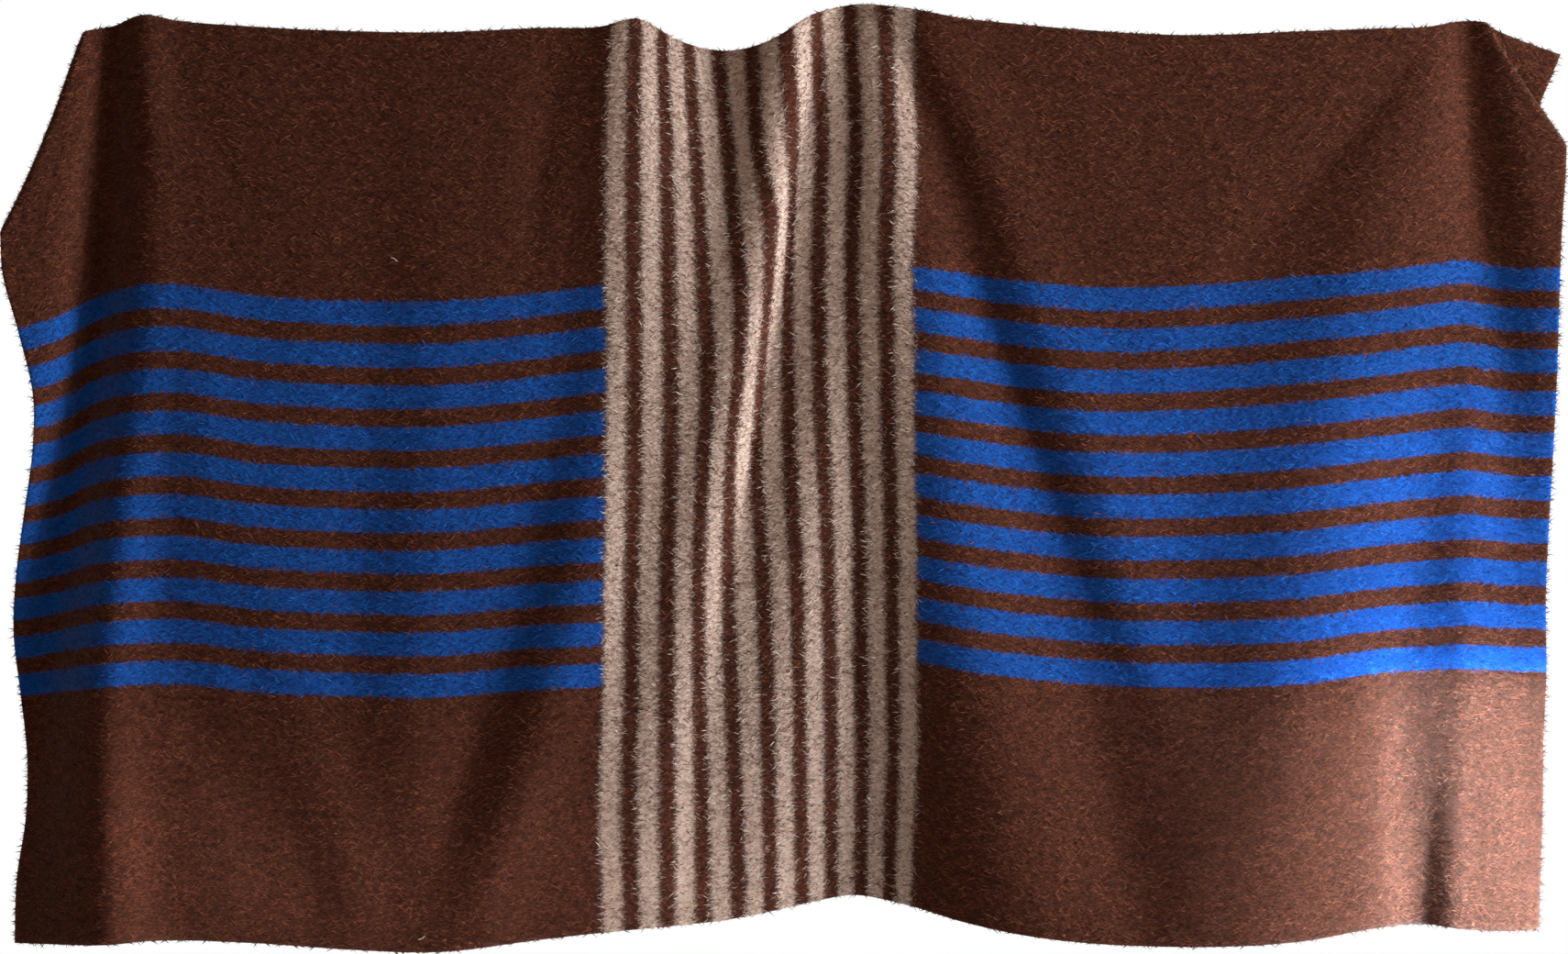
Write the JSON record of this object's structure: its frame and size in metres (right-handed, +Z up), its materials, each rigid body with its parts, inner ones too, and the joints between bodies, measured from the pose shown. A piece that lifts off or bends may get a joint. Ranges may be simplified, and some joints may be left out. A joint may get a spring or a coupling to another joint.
{
  "type": "wool blanket",
  "caption": "Brushed wool blanket hanging from its top edge in soft folds, with blue stripes across its side panels and cream stripes down its middle band.",
  "frame": {"origin": "the middle of the blanket's top edge, where it is held up", "axes": "+X to the right seen from the front, +Z up, the front faces -Y"},
  "size_m": [2.3881, 0.1386, 1.4484],
  "materials": {
    "brushed_wool": "brushed, napped wool, chocolate brown with cobalt blue and cream stripes"
  },
  "bodies": {
    "root": {"blanket": "brushed_wool"}
  },
  "joints": []
}
